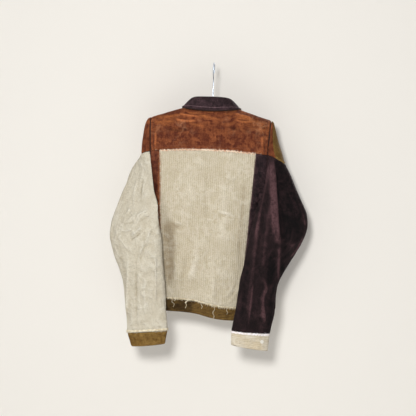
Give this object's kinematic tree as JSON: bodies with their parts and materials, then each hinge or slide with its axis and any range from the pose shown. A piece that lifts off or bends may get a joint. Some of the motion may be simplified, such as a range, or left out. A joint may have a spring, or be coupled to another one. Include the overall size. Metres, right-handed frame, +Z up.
{
  "type": "corduroy jacket on a clothes hanger",
  "caption": "Patched corduroy jacket with a shirt collar, set-in sleeves, cuffs and a waistband, hanging on a wooden hanger with a steel wire hook.",
  "frame": {"origin": "inside top of the hook's bow, where a rail carries the hanger", "axes": "+Z up, -Y out of the jacket's back, +Y out of its buttoned front, +X towards the wearer's right side"},
  "size_m": [0.5899, 0.173, 0.8524],
  "materials": {
    "rust": "brushed corduroy",
    "dark_rust": "brushed corduroy",
    "cream": "brushed corduroy",
    "plum": "velvety corduroy",
    "collar_plum": "velvety corduroy",
    "olive": "brushed corduroy",
    "ecru": "brushed corduroy",
    "steel": "polished wire",
    "beech": "satin lacquer",
    "horn": "satin",
    "shell": "pearly"
  },
  "bodies": {
    "root": {"back_yoke": "rust", "back_panel": "cream", "back_side_left": "dark_rust", "back_side_right": "plum", "front_left": "dark_rust", "front_right": "plum", "waistband": "olive", "collar_stand": "collar_plum", "collar_fall": "collar_plum", "sleeve_cap_left": "rust", "sleeve_left": "cream", "cuff_left": "olive", "sleeve_cap_right_patch": "olive", "sleeve_cap_right": "rust", "sleeve_right": "plum", "cuff_right": "ecru", "front_button_1": "horn", "front_button_2": "horn", "front_button_3": "horn", "front_button_4": "horn", "front_button_5": "horn", "waistband_button": "horn", "cuff_button_right": "shell", "hanger_body": "beech", "hanger_hook": "steel"}
  },
  "joints": []
}
